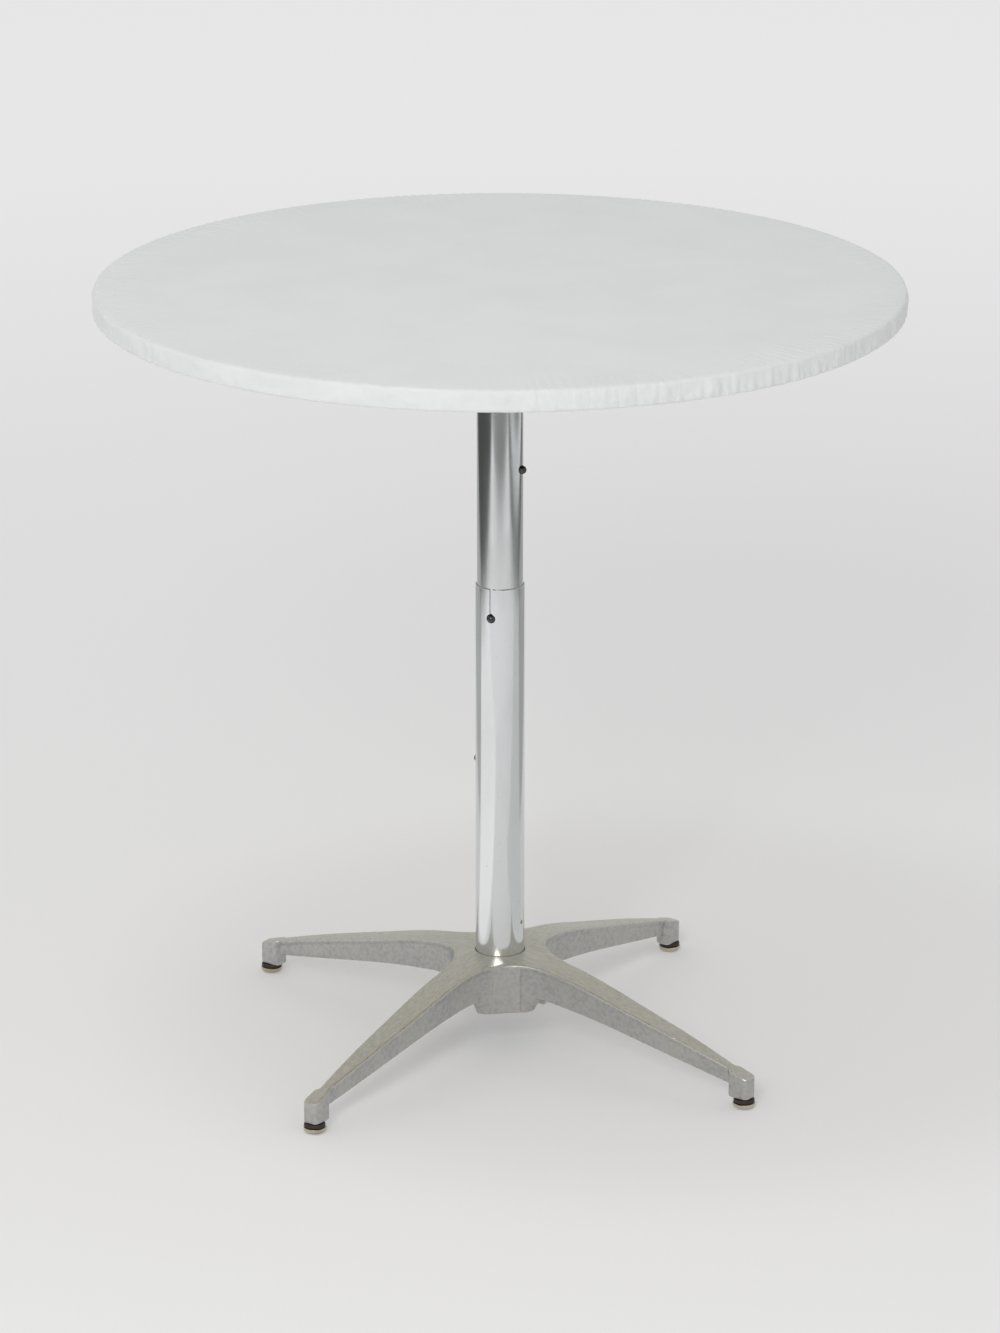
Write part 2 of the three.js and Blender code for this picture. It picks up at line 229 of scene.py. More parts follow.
def whiteCloth():
    made = Finish("whiteKnit")
    cut = made.node("ShaderNodeUVMap", {"uv_map": "cut"})
    wales = made.node("ShaderNodeTexWave", {"bands_direction": "X"}, {
        "Vector": cut, "Scale": 0.5 / knit["wale"], "Distortion": 0.6, "Detail": 1,
    })
    courses = made.node("ShaderNodeTexWave", {"bands_direction": "Y"}, {
        "Vector": cut, "Scale": 0.5 / knit["course"], "Distortion": 0.6, "Detail": 1,
    })
    soft = made.cloud(0.09, 3, at=cut)
    fibre = made.cloud(knit["fibre"], 2, at=cut)
    reach = made.vector("LENGTH", cut, out=1)
    x, y = (made.node("ShaderNodeSeparateXYZ", {}, {"Vector": cut}, out) for out in range(2))
    aroundRim = made.node("ShaderNodeCombineXYZ", {}, {
        "X": x / reach * boardHigh.x, "Y": y / reach * boardHigh.x, "Z": reach * knit["creaseStretch"],
    })
    patchy = made.band(made.cloud(0.11, 1, 0.4, at=aroundRim), 0.42, 0.62, 0.15, 1.0)
    nearRim = made.band(reach, boardHigh.x - knit["creaseReach"], boardHigh.x - 0.004)
    crease = made.cloud(knit["crease"], 2, 0.5, at=aroundRim) * nearRim * patchy
    outwards = made.band(reach, *knit["crumpleFrom"], 0.25, 1.0)
    crumple = made.cloud(knit["crumple"], 3, 0.5, at=cut) * outwards
    tone = made.blend(made.band(soft, 0.35, 0.7), shade(230, 231, 231), shade(227, 229, 228))
    tone = made.blend(fibre * 0.10, tone, shade(208, 210, 209))
    weave = made.bump(wales * courses, knit["weaveDepth"], 0.35)
    surface = made.bump(crumple, knit["crumpleDepth"], 0.4, weave)
    surface = made.bump(crease, knit["creaseDepth"], 0.75, surface)
    return made.set({
        "Base Color": tone, "Roughness": made.band(fibre, 0.2, 0.8, 0.82, 0.92),
        "Sheen Weight": 0.12, "Sheen Roughness": 0.5, "Normal": surface,
    }).material


skin = {"broad": 0.034, "patch": 0.0042, "grain": 0.0008, "streak": 0.0016, "drawnOut": 0.05}


def castMetal():
    # top faces rubbed smooth, side faces left rough as they came from the mould; the colour split by which
    # way a face points is partly that finish and partly painted light, lighter and warmer on top, with
    # painted shade on the sides
    made = Finish("castAluminium")
    broad = made.cloud(skin["broad"], 3, 0.55)
    patch = made.cloud(skin["patch"], 4, 0.6)
    grain = made.cloud(skin["grain"], 3, 0.7)
    facing = made.node("ShaderNodeNewGeometry", out=1)
    # faces pointing up: they get the lighter top colour, which is partly painted light
    up = made.band(made.node("ShaderNodeSeparateXYZ", {}, {"Vector": facing}, 2), 0.35, 0.8)
    diagonal = made.node("ShaderNodeMapping", {}, {
        "Vector": made.place, "Rotation": (0, 0, armAngles[0]),
    })
    x, y, z = (made.node("ShaderNodeSeparateXYZ", {}, {"Vector": diagonal}, out) for out in range(3))
    alongX = made.node("ShaderNodeCombineXYZ", {}, {"X": x * skin["drawnOut"], "Y": y, "Z": z})
    alongY = made.node("ShaderNodeCombineXYZ", {}, {"X": x, "Y": y * skin["drawnOut"], "Z": z})
    onX = made.node("ShaderNodeMath", {"operation": "GREATER_THAN"}, {0: x * x, 1: y * y})
    drawnX = made.cloud(skin["streak"], 3, 0.65, at=alongX)
    drawnY = made.cloud(skin["streak"], 3, 0.65, at=alongY)
    drawn = drawnX * onX + drawnY * (1 - onX)
    # convex edges, found by pointiness, are painted near white: a painted highlight along the edges
    edge = made.band(made.node("ShaderNodeNewGeometry", out=7), 0.515, 0.56)
    # lighter, warmer top colour and darker side colour: partly the rubbed and cast finishes, partly painted
    # light on top and painted shade on the sides
    rubbedAndPaintedLitTops = made.blend(made.band(drawn, 0.35, 0.7), shade(204, 202, 190), shade(184, 182, 168))
    castAndPaintedShadeFlanks = made.blend(made.band(patch, 0.38, 0.68), shade(186, 186, 184), shade(170, 170, 169))
    castAndPaintedShadeFlanks = made.blend(made.band(broad, 0.45, 0.7) * 0.5, castAndPaintedShadeFlanks, shade(196, 195, 189))
    tone = made.blend(up, castAndPaintedShadeFlanks, rubbedAndPaintedLitTops)
    tone = made.blend(made.band(broad, 0.55, 0.75) * 0.25, tone, shade(164, 160, 146))
    tone = made.blend(made.band(grain, 0.5, 0.8) * 0.35, tone, shade(222, 222, 219))
    # the painted edge highlight
    tone = made.blend(edge * 0.7, tone, shade(232, 232, 226))
    rough = made.band(patch, 0.3, 0.75, 0.34, 0.44) - up * 0.05 - edge * 0.08
    streaks = made.bump(drawn * up, 0.00018, 0.5)
    coarse = made.bump(patch * (1 - up), 0.0006, 0.35, streaks)
    return made.set({
        "Base Color": tone, "Metallic": 0.9, "Roughness": rough,
        "Normal": made.bump(grain, 0.00016, 0.4, coarse),
    }).material


def brightMetal(name, tone, dull, rough=(0.09, 0.17), lines=True):
    made = Finish(name)
    smear = made.cloud(0.05, 3, 0.55, stretch=(1, 1, 0.35))
    fine = made.cloud(0.0009, 2, 0.6, stretch=(1, 1, 0.02 if lines else 1))
    specks = made.band(made.cloud(0.0024, 2, 0.5), 0.70, 0.77)
    colour = made.blend(made.band(smear, 0.4, 0.75) * 0.5, tone, dull)
    colour = made.blend(specks * 0.35, colour, shade(120, 120, 118))
    polish = made.band(smear, 0.3, 0.75, rough[0], rough[1]) + fine * 0.03 + specks * 0.1
    return made.set({
        "Base Color": colour, "Metallic": 1.0, "Roughness": polish,
        "Normal": made.bump(fine, 0.00003, 0.25),
    }).material


def darkCoat(name, tone, light, rough):
    made = Finish(name)
    peel = made.cloud(0.0022, 2, 0.5)
    wear = made.band(made.cloud(0.02, 5, 0.65), 0.55, 0.75)
    return made.set({
        "Base Color": made.blend(wear * 0.4, tone, light),
        "Roughness": made.band(peel, 0.3, 0.7, rough, rough + 0.15),
        "Normal": made.bump(peel, 0.0002, 0.4),
    }).material


def plywoodSheet():
    made = Finish("plywood")
    flow = made.cloud(0.08, 3, 0.5, stretch=(1, 0.08, 1))
    rings = made.node("ShaderNodeTexWave", {"bands_direction": "X"}, {
        "Vector": made.vector("MULTIPLY", made.place, (1, 0.12, 1)),
        "Scale": 14.0, "Distortion": 7.0, "Detail": 3.0, "Detail Scale": 1.2,
    })
    pores = made.cloud(0.0012, 3, 0.7, stretch=(1, 0.05, 1))
    tone = made.blend(rings, shade(201, 166, 117), shade(178, 139, 90))
    tone = made.blend(made.band(flow, 0.4, 0.7) * 0.5, tone, shade(214, 184, 140))
    tone = made.blend(made.band(pores, 0.58, 0.72) * 0.5, tone, shade(128, 92, 55))
    return made.set({
        "Base Color": tone, "Roughness": made.band(pores, 0.3, 0.7, 0.6, 0.78),
        "Normal": made.bump(pores, 0.0002, 0.4),
    }).material


def webbing():
    made = Finish("elasticWeb")
    ribs = made.node("ShaderNodeTexWave", {"bands_direction": "Z"}, {
        "Vector": made.place, "Scale": 320.0, "Distortion": 0.3,
    })
    fuzz = made.cloud(0.0012, 3, 0.6)
    return made.set({
        "Base Color": made.blend(fuzz, shade(232, 232, 228), shade(208, 208, 202)),
        "Roughness": made.band(fuzz, 0.2, 0.8, 0.75, 0.9),
        "Normal": made.bump(ribs, 0.0003, 0.5),
    }).material


def paleFloor():
    made = Finish("paperFloor")
    fibre = made.cloud(0.004, 2, 0.5)
    # the paper glows, and away from the table it is painted whiter and glows more: painted light
    far = made.band(made.vector("LENGTH", made.place, out=1), 0.6, 4.5)
    near = made.blend(fibre, shade(230, 230, 230), shade(228, 228, 228))
    tone = made.blend(far, near, shade(244, 244, 244))
    low, high = studio["floorGlow"]
    paintedGlow = made.blend(far, (low, low, low, 1), (high, high, high, 1))
    return made.set({
        "Base Color": tone, "Roughness": made.band(fibre, 0.2, 0.8, 0.9, 0.95),
        "Specular IOR Level": 0.0, "Emission Color": paintedGlow, "Emission Strength": 1.0,
    }).material


# a sheet glowing at a set grey, used only for painted reflections
def paintedReflectionFinish(name, value):
    made = Finish(name)
    haze = made.cloud(0.8, 2, 0.5)
    tone = made.blend(haze, shade(value, value, value), shade(value + 8, value + 8, value + 6))
    return made.set({
        "Base Color": (0, 0, 0, 1), "Roughness": 0.9,
        "Emission Color": tone, "Emission Strength": 1.0,
    }).material


finishes = {
    "cloth": whiteCloth(),
    "elastic": webbing(),
    "plywood": plywoodSheet(),
    "edging": darkCoat("vinylEdging", shade(58, 55, 51), shade(84, 80, 74), 0.4),
    "blackSteel": darkCoat("blackPowderCoat", shade(38, 38, 39), shade(66, 65, 63), 0.42),
    "zinc": brightMetal("zincPlate", shade(196, 199, 200), shade(168, 170, 168), (0.25, 0.38), False),
    "chrome": brightMetal("chromePlate", shade(222, 224, 225), shade(205, 206, 206)),
    "nylon": darkCoat("blackNylon", shade(36, 36, 37), shade(52, 52, 53), 0.4),
    "button": brightMetal("blackenedSteel", shade(84, 85, 87), shade(64, 64, 65), (0.07, 0.14), False),
    "spring": brightMetal("springSteel", shade(150, 152, 153), shade(112, 112, 111), (0.2, 0.34), False),
    "casting": castMetal(),
    "rubber": darkCoat("brownRubber", shade(42, 36, 31), shade(66, 58, 50), 0.5),
    "nickel": brightMetal("wornNickel", shade(206, 196, 180), shade(134, 118, 98), (0.12, 0.28), False),
}
print("materials made")


# Shared modelling helpers

def rounded(points, radius, steps):
    # the corners of a closed outline, each turned into an arc
    count = len(points)
    made = []
    for index, point in enumerate(points):
        here = Vector(point)
        back, ahead = Vector(points[index - 1]) - here, Vector(points[(index + 1) % count]) - here
        reach = min(radius, back.length * 0.45, ahead.length * 0.45)
        start, end = here + back.normalized() * reach, here + ahead.normalized() * reach
        for step in range(steps + 1):
            share = step / steps
            made.append(start.lerp(here, share).lerp(here.lerp(end, share), share))
    return made


def spun(profile, steps=96, closed=False):
    # (radius, height) points turned about the column's axis
    shape = bmesh.new()
    verts = [shape.verts.new((point[0], 0, point[1])) for point in profile]
    pairs = list(zip(verts, verts[1:])) + ([(verts[-1], verts[0])] if closed else [])
    edges = [shape.edges.new(pair) for pair in pairs]
    bmesh.ops.spin(shape, geom=verts + edges, cent=(0, 0, 0), axis=(0, 0, 1),
                   angle=math.tau, steps=steps, use_merge=True)
    bmesh.ops.remove_doubles(shape, verts=shape.verts, dist=1e-7)
    bmesh.ops.dissolve_degenerate(shape, dist=1e-7, edges=shape.edges)
    bmesh.ops.recalc_face_normals(shape, faces=shape.faces)
    return shape


def prism(outline, low, high):
    shape = bmesh.new()
    floor = shape.faces.new([shape.verts.new((x, y, low)) for x, y in outline])
    raised = bmesh.ops.extrude_face_region(shape, geom=[floor])["geom"]
    top = [item for item in raised if isinstance(item, bmesh.types.BMVert)]
    bmesh.ops.translate(shape, verts=top, vec=(0, 0, high - low))
    bmesh.ops.recalc_face_normals(shape, faces=shape.faces)
    return shape


def boxOutline(width, length, corner, centre=(0, 0), steps=5):
    sides = ((-1, -1), (1, -1), (1, 1), (-1, 1))
    points = [(centre[0] + x * width / 2, centre[1] + y * length / 2) for x, y in sides]
    return [tuple(point) for point in rounded(points, corner, steps)]


def crisp(shape, angle=32):  # faces shade smoothly except over edges sharper than the angle
    for face in shape.faces:
        face.smooth = True
    for edge in shape.edges:
        if len(edge.link_faces) == 2 and edge.calc_face_angle(0) > math.radians(angle):
            edge.smooth = False


def place(shape, height=0.0, angle=0.0, sideways=False):
    # turns a piece made along +Z to point outwards at a height and an angle
    if sideways:
        bmesh.ops.transform(shape, matrix=Matrix.Rotation(math.pi / 2, 4, "Y"), verts=shape.verts)
    move = Matrix.Translation((0, 0, height)) @ Matrix.Rotation(angle, 4, "Z")
    bmesh.ops.transform(shape, matrix=move, verts=shape.verts)
    return shape


def asObject(name, shape, finish=None, angle=32):
    crisp(shape, angle)
    mesh = bpy.data.meshes.new(name)
    shape.to_mesh(mesh)
    shape.free()
    made = bpy.data.objects.new(name, mesh)
    scene.collection.objects.link(made)
    if finish:
        mesh.materials.append(finishes[finish])
    return made


def onBody(made, body, slot, *nodes):
    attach(made, body)
    if nodes:
        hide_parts(*nodes)
    return made


def settled(made):  # the object with its modifiers applied
    bpy.context.view_layer.update()
    solid = made.evaluated_get(bpy.context.evaluated_depsgraph_get())
    mesh = bpy.data.meshes.new_from_object(solid)
    made.modifiers.clear()
    made.data = mesh
    return made


def carve(made, tools, operation="DIFFERENCE"):
    for tool in tools:
        change = made.modifiers.new("carve", "BOOLEAN")
        change.operation, change.object, change.solver = operation, tool, "EXACT"
    settled(made)
    for tool in tools:
        bpy.data.objects.remove(tool)
    return made


def addShape(into, shape):  # joins a second mesh to a bmesh
    spare = bpy.data.meshes.new("spare")
    shape.to_mesh(spare)
    into.from_mesh(spare)
    shape.free()
    bpy.data.meshes.remove(spare)


def pegged(radius, low, high, steps=32):
    return spun([(0, low), (radius, low), (radius, high), (0, high)], steps)


# The two tubes

tubes = {
    "wall": 0.0015,
    "steps": 144,
    "lip": 0.00045,  # rounding of the cut ends
    "hole": 0.0045,
    "slit": 0.0030,
    "drain": 0.0020,
    "drainHeight": 0.125,
    "drainAngle": -36,
    "cutFrom": 0.012,  # the cutters of the holes run between these radii
    "cutTo": 0.030,
}
innerOuter, innerInner = innerHigh.x, innerHigh.x - tubes["wall"]
outerOuter = outerHigh.x
outerInner = innerOuter + gap


def roundWalls(made):
    # the walls shade as true cylinders, so a hole leaves no dent in the reflections
    mesh = made.data
    normals = []
    for face in mesh.polygons:
        flat = Vector((face.normal.x, face.normal.y, 0))
        for loop in face.loop_indices:
            spot = mesh.vertices[mesh.loops[loop].vertex_index].co
            out = Vector((spot.x, spot.y, 0))
            if flat.length > 0.98 and out.length > 0 and abs(flat.dot(out.normalized())) > 0.98:
                normals.append(out.normalized() * (1 if flat.dot(out) > 0 else -1))
            else:
                normals.append(face.normal.copy())
    mesh.normals_split_custom_set(normals)


def tubePiece(name, inner, outer, low, high, holes):
    wall = rounded([(inner, low), (outer, low), (outer, high), (inner, high)], tubes["lip"], 3)
    made = asObject(name, spun(wall, tubes["steps"], closed=True), "chrome")
    carve(made, holes)
    roundWalls(made)
    return made


def holeTool(letter):
    shape = pegged(tubes["hole"], tubes["cutFrom"], tubes["cutTo"], 40)
    return asObject("tool", place(shape, buttonHeight(letter), buttonAngle(letter), sideways=True))


def slitTool():
    near, far = tubes["cutFrom"], tubes["cutTo"]
    outline = boxOutline(far - near, tubes["slit"], 0.0002, ((near + far) / 2, 0))
    shape = prism(outline, buttonHeight("b"), outerHigh.z + 0.002)
    return asObject("tool", place(shape, 0, buttonAngle("b")))


def drainTool():
    shape = pegged(tubes["drain"], tubes["cutFrom"], tubes["cutTo"], 24)
    angle = math.radians(tubes["drainAngle"])
    return asObject("tool", place(shape, tubes["drainHeight"], angle, sideways=True))


innerTube = tubePiece("innerTube", innerInner, innerOuter, innerLow.z, innerHigh.z,
                      [holeTool(letter) for letter in "abcd"])
onBody(innerTube, "column", "chrome", "upper_tube")
outerTube = tubePiece("outerTube", outerInner, outerOuter, outerLow.z, outerHigh.z,
                      [holeTool("b"), holeTool("c"), slitTool(), drainTool()])
onBody(outerTube, "base", "chrome", "lower_tube")
print("tubes made")


# The cast base

casting = {
    "bossRadius": 0.047, "skirt": 0.0015, "panel": 0.027, "hubBottom": 0.0415,
    "rootHalf": 0.016, "middle": 0.028, "tipHalf": 0.00825,  # an arm's width at its root, middle and end
    "crotchReach": 0.075, "crotchPull": 0.0195,  # the curve between two arms
    "crest": ((0.2, 0.0085), (0.45, 0.0245), (0.725, 0.0425)),  # how far out along an arm, and how far down
    "draft": 0.0065,
    "skin": 0.005, "wall": 0.004, "socketWall": 0.006, "socketFloor": 0.004, "drain": 0.012,
    "glideCircle": 0.2905, "footSetback": 0.0032, "footLength": 0.0235, "footWidth": 0.017,
    "footCorner": 0.0045, "footTop": 0.031,
    "screwHole": 0.0043, "screwHeight": 0.066, "stemHole": 0.0043, "stemDepth": 0.016,
    "panelProud": 0.0020, "lip": 0.0011, "lipDepth": 0.0042,
    "below": -0.02, "above": 0.2, "overlap": 0.001,  # how far the cutters reach past the casting
    "voxel": 0.0009, "softening": 8, "kept": 0.3,
}
hubTop, hubBottom = castHigh.z, casting["hubBottom"]
footBottom = castLow.z
footCentre = casting["glideCircle"] - casting["footSetback"]
footOuter = footCentre + casting["footLength"] / 2
socketRadius = outerOuter + gap + casting["socketWall"]
hubScrewAngles = (90, 180)


def through(points, steps):  # a smooth line through points
    points = [Vector(point) for point in points]
    made = []
    for index in range(len(points) - 1):
        before = points[max(index - 1, 0)]
        first, second = points[index], points[index + 1]
        after = points[min(index + 2, len(points) - 1)]
        for step in range(steps):
            t = step / steps
            made.append(0.5 * (2 * first + (second - before) * t
                               + (2 * before - 5 * first + 4 * second - after) * t ** 2
                               + (3 * first - before - 3 * second + after) * t ** 3))
    return made + [points[-1]]


def alongArm(share):
    return casting["bossRadius"] + (footOuter - casting["bossRadius"]) * share


crest = through([
    (outerOuter, hubTop), (casting["bossRadius"] - 0.002, hubTop - 0.0005),
    *((alongArm(share), hubTop - drop) for share, drop in casting["crest"]),
    (footOuter, casting["footTop"]),
], 7)
belly = through([
    (casting["bossRadius"] + 0.0105, hubBottom + 0.016), (alongArm(0.36), hubBottom + 0.0065),
    (casting["glideCircle"], footBottom + 0.008),
], 10)


def bowed(start, control, end, steps):  # a quadratic curve, without its last point
    start, control, end = Vector(start), Vector(control), Vector(end)
    return [start.lerp(control, t / steps).lerp(control.lerp(end, t / steps), t / steps)
            for t in range(steps)]


def starOutline(proud=0.0):
    c = casting
    pull = c["crotchPull"] + proud * math.sqrt(2)
    middle = (c["crotchReach"] + footCentre) / 2 + 0.01
    bulge = c["middle"] - (c["rootHalf"] + c["tipHalf"]) / 2
    made = []
    for angle in armAngles:
        root, tip = (c["crotchReach"], c["rootHalf"]), (footCentre, c["tipHalf"])
        arm = bowed((root[0], -root[1]), (middle, -bulge), (tip[0], -tip[1]), 22)
        arm += [Vector((tip[0], -tip[1]))]
        arm += bowed(tip, (middle, bulge), root, 22)
        arm += bowed(root, (pull, pull), (root[1], root[0]), 20)
        turn = Matrix.Rotation(angle, 2)
        made += [turn @ point for point in arm]
    return made


def starBlock(proud=0.0, inset=0.0):
    # drawn in towards the bottom, and all round by the inset
    outline = starOutline(proud)
    shape = prism(outline, -0.005, hubTop + 0.001)
    count = len(outline)
    shape.verts.ensure_lookup_table()
    for vert in shape.verts:
        index = min(range(count), key=lambda i: (outline[i] - vert.co.xy).length_squared)
        side = outline[(index + 1) % count] - outline[index - 1]
        pull = inset if vert.co.z > 0 else inset + casting["draft"]
        vert.co.xy += Vector((-side.y, side.x)).normalized() * pull
    return shape


def turnedUnder(line, floor, lowered=0.0):
    top = [(point[0], point[1] - lowered) for point in reversed(line)]
    return spun([(0, floor), (top[0][0], floor), *top, (0, line[0][1] - lowered)], 144)


def castBase():
    c = casting
    below, above, overlap = c["below"], c["above"], c["overlap"]
    body = asObject("baseCasting", starBlock(inset=c["lip"]))
    reach = c["bossRadius"] + c["skirt"]
    for width, length in ((2 * reach, c["panel"]), (c["panel"], 2 * reach)):
        outline = boxOutline(width, length, 0.0004)
        panel = asObject("tool", prism(outline, 0, hubTop - c["lipDepth"] + overlap))
        carve(panel, [asObject("tool", starBlock(c["panelProud"], c["lip"]))], "INTERSECT")
        carve(body, [panel], "UNION")
    lower = [(0, below), (footOuter + 0.005, below), (footOuter + 0.005, footBottom + overlap),
             *[tuple(point) for point in reversed(belly)], (reach, hubBottom), (0, hubBottom)]
    carve(body, [asObject("tool", spun(lower, 144))])
    rootHalf = c["rootHalf"] - c["wall"] - c["draft"] / 2
    tipHalf = c["tipHalf"] - c["wall"] - c["draft"] / 2
    outer = footCentre - c["footLength"] / 2 - c["wall"]
    socket = [(socketRadius, below), (socketRadius, above), (0, above), (0, below)]
    inner = socketRadius - overlap
    for angle in armAngles:
        outline = [(inner, -rootHalf), (outer, -tipHalf), (outer, tipHalf), (inner, rootHalf)]
        channel = asObject("tool", place(prism(outline, 0, hubTop), 0, angle))
        carve(channel, [asObject("tool", turnedUnder(crest, below, c["skin"]))], "INTERSECT")
        carve(channel, [asObject("tool", spun(socket, 96))])
        carve(body, [channel])
    wellRadius = c["bossRadius"] - c["wall"] - c["draft"] / 2
    well = asObject("tool", pegged(wellRadius, 0, hubTop - c["skin"], 96))
    carve(well, [asObject("tool", spun(socket, 96))])
    carve(body, [well])
    for angle in armAngles:
        corner = c["footCorner"] * 1.4
        outline = boxOutline(c["footLength"], c["footWidth"], corner, (footCentre, 0), 6)
        carve(body, [asObject("tool", place(prism(outline, footBottom, hubTop), 0, angle))], "UNION")
    lip = asObject("tool", starBlock())
    carve(lip, [asObject("tool", turnedUnder(crest, below, c["lipDepth"]))])
    carve(body, [lip], "UNION")
    top = crest + [crest[-1] + (crest[-1] - crest[-2]).normalized() * c["footCorner"]]
    carve(body, [asObject("tool", turnedUnder(top, below))], "INTERSECT")
    holes = [asObject("tool", pegged(outerOuter + gap, hubBottom + c["socketFloor"], above, 96)),
             asObject("tool", pegged(c["drain"], 0, above, 64))]
    for degrees in hubScrewAngles:
        shape = place(pegged(c["screwHole"], outerOuter, c["crotchReach"], 32),
                      c["screwHeight"], math.radians(degrees), sideways=True)
        holes.append(asObject("tool", shape))
    for angle in armAngles:
        shape = pegged(c["stemHole"], 0, footBottom + c["stemDepth"], 24)
        bmesh.ops.translate(shape, verts=shape.verts, vec=(c["glideCircle"], 0, 0))
        holes.append(asObject("tool", place(shape, 0, angle)))
    return carve(body, holes)


def soften(made, voxel, rounds, kept):
    # a cast skin: edges worn round by an even remesh and smoothing, then thinned where it is flat
    remesh = made.modifiers.new("skin", "REMESH")
    remesh.mode, remesh.voxel_size, remesh.adaptivity = "VOXEL", voxel, 0
    smooth = made.modifiers.new("smooth", "SMOOTH")
    smooth.factor, smooth.iterations = 0.5, rounds
    thin = made.modifiers.new("thin", "DECIMATE")
    thin.ratio = kept
    settled(made)
    made.data.shade_smooth()


baseCasting = castBase()
print("casting solid:", len(baseCasting.data.polygons), "faces")
soften(baseCasting, casting["voxel"], casting["softening"], casting["kept"])
baseCasting.data.materials.clear()
baseCasting.data.materials.append(finishes["casting"])
onBody(baseCasting, "base", "casting", "base_casting")
print("casting made:", len(baseCasting.data.polygons), "faces")


# The fitted cover

cover = {
    "thickness": 0.0009,
    "segments": 1060,
    "corner": 0.0034,
    "topRings": (0.06, 0.12, 0.18, 0.23, 0.27, 0.3, 0.32, 0.335, 0.348, 0.358, 0.366, 0.372),
    "smoothRadius": 0.2,  # nothing is gathered inside this
    "underTurn": 0.062,  # how far the cloth reaches under the board
    "hem": 0.011,
    "hemFold": 0.0013,
    "pleats": 120,  # gathers drawn up by the elastic
    "ruffle": 0.0021,  # their depth at the hem
    "slack": 0.0030,
    "bandGather": 0.0020,  # and on the side band
    "gatherAngle": -69.0,  # the side where the gathers show most, and how far they spread
    "gatherSpread": 23.0,
    "crumple": 0.0026,
    "dents": (0.021, 0.009),  # the sizes of the dents in the band
    "rimCrease": 0.00045,
    "creaseFrom": 0.27,
    "foldAngle": -111.0,  # one slanted fold in the band
    "foldDepth": 0.0026,
    "foldSpread": 0.55,
    "foldSlant": 7.0,
    "elasticWidth": 0.007,
    "elasticThickness": 0.0009,
    "stitches": 760,
    "stitchInset": 0.0022,
    "stitchSize": (0.0004, 0.0017, 0.0003),
}
coverRadius = coverHigh.x
coverTop = coverHigh.z
coverUnder = boardLow.z - gap - cover["thickness"]
hemInner = coverRadius - cover["underTurn"]
hemLevel = coverUnder + cover["thickness"] / 2  # the middle of the cloth under the board


def roundNoise(angle, rate, seed):  # noise that closes on itself round the board
    return noise.noise(Vector((math.cos(angle) * rate, math.sin(angle) * rate, seed)))


def pleatWave(angle, count, seed):
    drift = 3.2 * roundNoise(angle, count / 22, seed)
    return 0.5 - 0.5 * math.cos(count * angle + drift * 2)


def coverProfile():
    # the middle of the cloth's thickness, from the middle of the top to the hem's turned edge
    half = cover["thickness"] / 2
    high, bottom = coverTop - half, hemLevel
    out = coverRadius - half
    bend = cover["corner"] - half
    quarter = [math.radians(22.5 * k) for k in range(5)]
    line = [(0, high)] + [(r, high) for r in cover["topRings"]]
    line += [(out - bend + bend * math.sin(a), high - bend + bend * math.cos(a)) for a in quarter]
    span = (high - bend) - (bottom + bend)
    line += [(out, high - bend - span * k / 6) for k in range(1, 6)]
    line += [(out - bend + bend * math.cos(a), bottom + bend - bend * math.sin(a)) for a in quarter]
    edge = hemInner + 0.001
    reach = (out - bend) - edge
    line += [(out - bend - reach * k / 9, bottom) for k in range(1, 10)]
    fold = cover["hemFold"]
    turn = [math.radians(45 * k) for k in range(1, 5)]
    line += [(edge - fold * math.sin(a), bottom - fold + fold * math.cos(a)) for a in turn]
    line += [(edge + (cover["hem"] - 0.002) * k / 4, bottom - 2 * fold) for k in range(1, 5)]
    return line


def crumpled(angle, height):  # slack in the band that hangs in dents of a centimetre or two
    spot = Vector((math.cos(angle) * coverRadius, math.sin(angle) * coverRadius, height))
    broad, small = (noise.noise(spot / size) for size in cover["dents"])
    return max(-0.4, broad) + 0.4 * small


def ruffled(spot):
    # where the gathers move a point of the cover, from its place on the smooth form
    radius = spot.xy.length
    if radius < cover["smoothRadius"]:
        return spot
    angle = math.atan2(spot.y, spot.x)
    out = spot.xy / radius
    local = max(0.0, min(1.0, 0.5 + 1.6 * roundNoise(angle, 2.2, 4.0)))
    front = math.exp(-((math.degrees(angle) - cover["gatherAngle"]) / cover["gatherSpread"]) ** 2)
    strength = 0.25 + 0.45 * local + 0.9 * front
    wave = pleatWave(angle, cover["pleats"], 1.5)
    fine = pleatWave(angle, cover["pleats"] * 2, 9.0)
    moved = spot.copy()
    under = coverUnder + cover["corner"] + 0.001
    if spot.z > coverTop - 0.004 and radius < coverRadius - 0.002:
        edge = max(0.0, (radius - cover["creaseFrom"]) / (coverRadius - cover["creaseFrom"]))
        moved.z += cover["rimCrease"] * edge ** 2 * (fine - 0.5) * 2 * local
    elif spot.z > under:
        share = min(1.0, (coverTop - spot.z) / (coverTop - coverUnder))
        lift = cover["bandGather"] * share ** 0.7 * strength * (0.45 * wave + 0.55 * fine)
        lift += cover["crumple"] * math.sin(math.pi * min(1, share * 1.1)) * crumpled(angle, spot.z)
        tilt = math.degrees(angle) - cover["foldAngle"] - cover["foldSlant"] * (share - 0.5)
        lift += cover["foldDepth"] * math.exp(-(tilt / cover["foldSpread"]) ** 2) * share
        moved.xy += out * max(lift, -gap / 2)  # the edge of the board is right behind
    else:
        share = max(0.0, min(1.0, (coverRadius - radius) / cover["underTurn"]))
        drop = cover["ruffle"] * share ** 0.8 * (0.75 * wave + 0.25 * fine)
        drop += cover["slack"] * math.sin(math.pi * min(1.0, share * 1.05)) * (0.35 + 0.65 * local)
        ease = min(1.0, share / 0.08)
        moved.z -= drop * ease
        lift = cover["bandGather"] * strength * (0.45 * wave + 0.55 * fine) * (1 - ease)
        moved.xy += out * (lift - 0.0011 * share * (fine - 0.5))
    return moved


